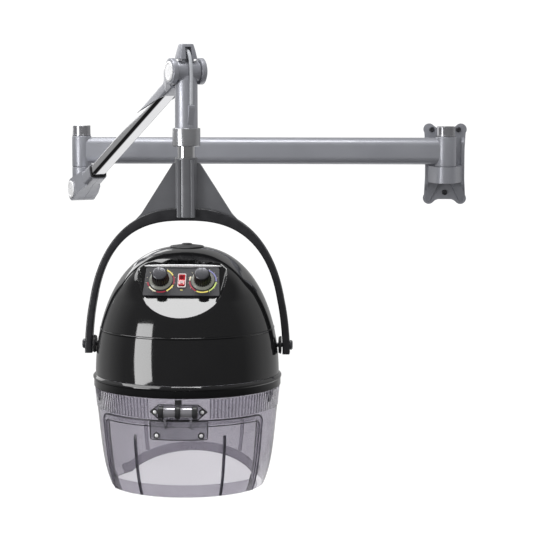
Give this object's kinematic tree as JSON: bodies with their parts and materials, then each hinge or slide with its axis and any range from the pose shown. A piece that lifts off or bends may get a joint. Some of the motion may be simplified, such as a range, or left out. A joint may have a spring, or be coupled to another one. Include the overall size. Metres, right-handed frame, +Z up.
{
  "type": "wall-mounted hood hair dryer",
  "caption": "Wall-mounted salon hair dryer: swinging arm, balanced lift arm, swivelling yoke and a tilting black hood with a clear skirt and flip-up visor.",
  "frame": {"origin": "centre of the wall bracket's back face", "axes": "+Y into the wall, +Z up, +X to the right for someone who faces the wall"},
  "size_m": [0.8956, 0.8291, 0.8555],
  "materials": {
    "metallic_grey": "silver-grey metallic stove enamel, satin",
    "dark_paint": "dark grey satin paint",
    "yoke_paint": "near-black paint with a fine texture",
    "chrome": "polished chrome plate",
    "polished_disc": "polished snap-in disc",
    "steel": "bright zinc-plated steel",
    "brass": "heater winding on its former",
    "aluminium": "spun and die-cast aluminium",
    "hood_gloss": "black high-gloss moulding",
    "panel_film": "dark satin control panel",
    "black_plastic": "black satin moulding",
    "white_plastic": "off-white moulding",
    "red_plastic": "translucent red moulding",
    "rubber": "black rubber",
    "lead_sheath": "light grey flexible sheath",
    "smoked_clear": "smoked clear polycarbonate"
  },
  "bodies": {
    "wall_bracket": {"wall_bracket": "metallic_grey", "wall_screw_1": "steel", "wall_screw_2": "steel", "wall_screw_3": "steel", "wall_spindle": "steel", "wall_spindle_cap": "dark_paint"},
    "horizontal_arm": {"horizontal_arm": "metallic_grey", "wall_bush": "white_plastic", "elbow_bush": "white_plastic"},
    "elbow": {"elbow_casting": "metallic_grey", "elbow_spindle": "steel", "elbow_spindle_cap": "dark_paint", "elbow_link_pin": "steel"},
    "lift_arm": {"socket_left": "metallic_grey", "socket_right": "metallic_grey", "socket_gasket": "rubber", "elbow_pin": "steel", "elbow_disc": "polished_disc", "lift_tube": "chrome", "spring_guide": "steel", "balance_spring": "steel", "arm_head": "metallic_grey", "knuckle_pin": "steel", "knuckle_disc": "polished_disc"},
    "levelling_rod": {"levelling_rod": "steel"},
    "head": {"head_tube": "metallic_grey", "swivel_collar": "metallic_grey", "knuckle_cover": "metallic_grey", "head_link_pin": "steel", "supply_lead": "lead_sheath"},
    "yoke": {"yoke": "yoke_paint", "swivel_rod": "chrome"},
    "hood": {"hood_upper": "hood_gloss", "hood_lower": "hood_gloss", "rim_ring": "hood_gloss", "top_cap": "black_plastic", "control_panel": "panel_film", "timer_unit": "white_plastic", "heat_unit": "white_plastic", "switch_frame": "white_plastic", "fan_motor": "aluminium", "motor_bracket": "steel", "heater_ring": "brass", "air_bowl": "aluminium", "skirt": "smoked_clear", "skirt_clip_left": "black_plastic", "skirt_clip_right": "black_plastic", "skirt_leaf": "black_plastic", "hinge_pin": "chrome", "tilt_hub_left": "black_plastic", "tilt_hub_right": "black_plastic", "tilt_bolt_left": "dark_paint", "tilt_bolt_right": "dark_paint"},
    "timer_knob": {"timer_knob": "black_plastic"},
    "heat_knob": {"heat_knob": "black_plastic"},
    "power_rocker": {"power_rocker": "red_plastic"},
    "fan": {"fan_wheel": "black_plastic"},
    "visor": {"visor": "smoked_clear", "visor_leaf": "black_plastic"}
  },
  "joints": [
    {"name": "arm_swing", "type": "hinge", "parent": "wall_bracket", "child": "horizontal_arm", "pos_m": [0, -0.063, 0], "axis": [0, 0, 1], "range_deg": [0, 165]},
    {"name": "elbow_swivel", "type": "hinge", "parent": "horizontal_arm", "child": "elbow", "pos_m": [-0.814, -0.063, 0], "axis": [0, 0, 1], "range_deg": [-100, 15]},
    {"name": "arm_lift", "type": "hinge", "parent": "elbow", "child": "lift_arm", "pos_m": [-0.814, -0.063, -0.056], "axis": [-0.891, -0.454, 0], "range_deg": [-26, 17]},
    {"name": "link_pivot", "type": "hinge", "parent": "elbow", "child": "levelling_rod", "pos_m": [-0.814, -0.063, -0.0644], "axis": [-0.891, -0.454, 0], "range_deg": [-26, 17]},
    {"name": "head_level", "type": "hinge", "parent": "lift_arm", "child": "head", "pos_m": [-0.52291, -0.63429, 0.20958], "axis": [-0.891, -0.454, 0], "range_deg": [-17, 26]},
    {"name": "yoke_swivel", "type": "hinge", "parent": "head", "child": "yoke", "pos_m": [-0.52291, -0.63429, 0.20958], "axis": [0, 0, 1], "range_deg": [-170, 170]},
    {"name": "hood_tilt", "type": "hinge", "parent": "yoke", "child": "hood", "pos_m": [-0.52291, -0.63429, -0.32142], "axis": [1, 0, 0], "range_deg": [-30, 30]},
    {"name": "timer_turn", "type": "hinge", "parent": "hood", "child": "timer_knob", "pos_m": [-0.56291, -0.73599, -0.18517], "axis": [0, 0.788, -0.6157], "range_deg": [0, 300]},
    {"name": "heat_turn", "type": "hinge", "parent": "hood", "child": "heat_knob", "pos_m": [-0.48291, -0.73599, -0.18517], "axis": [0, 0.788, -0.6157], "range_deg": [0, 270]},
    {"name": "switch_rock", "type": "hinge", "parent": "hood", "child": "power_rocker", "pos_m": [-0.52291, -0.73599, -0.18517], "axis": [1, 0, 0], "range_deg": [0, 12]},
    {"name": "fan_spin", "type": "hinge", "parent": "hood", "child": "fan", "pos_m": [-0.52291, -0.63429, -0.24942], "axis": [0, 0, 1], "continuous": true},
    {"name": "visor_flip", "type": "hinge", "parent": "hood", "child": "visor", "pos_m": [-0.52291, -0.82379, -0.42242], "axis": [-1, 0, 0], "range_deg": [0, 100]}
  ],
  "couplings": [
    {"joint": "link_pivot", "follows": "arm_lift", "ratio": 1},
    {"joint": "head_level", "follows": "arm_lift", "ratio": -1}
  ]
}
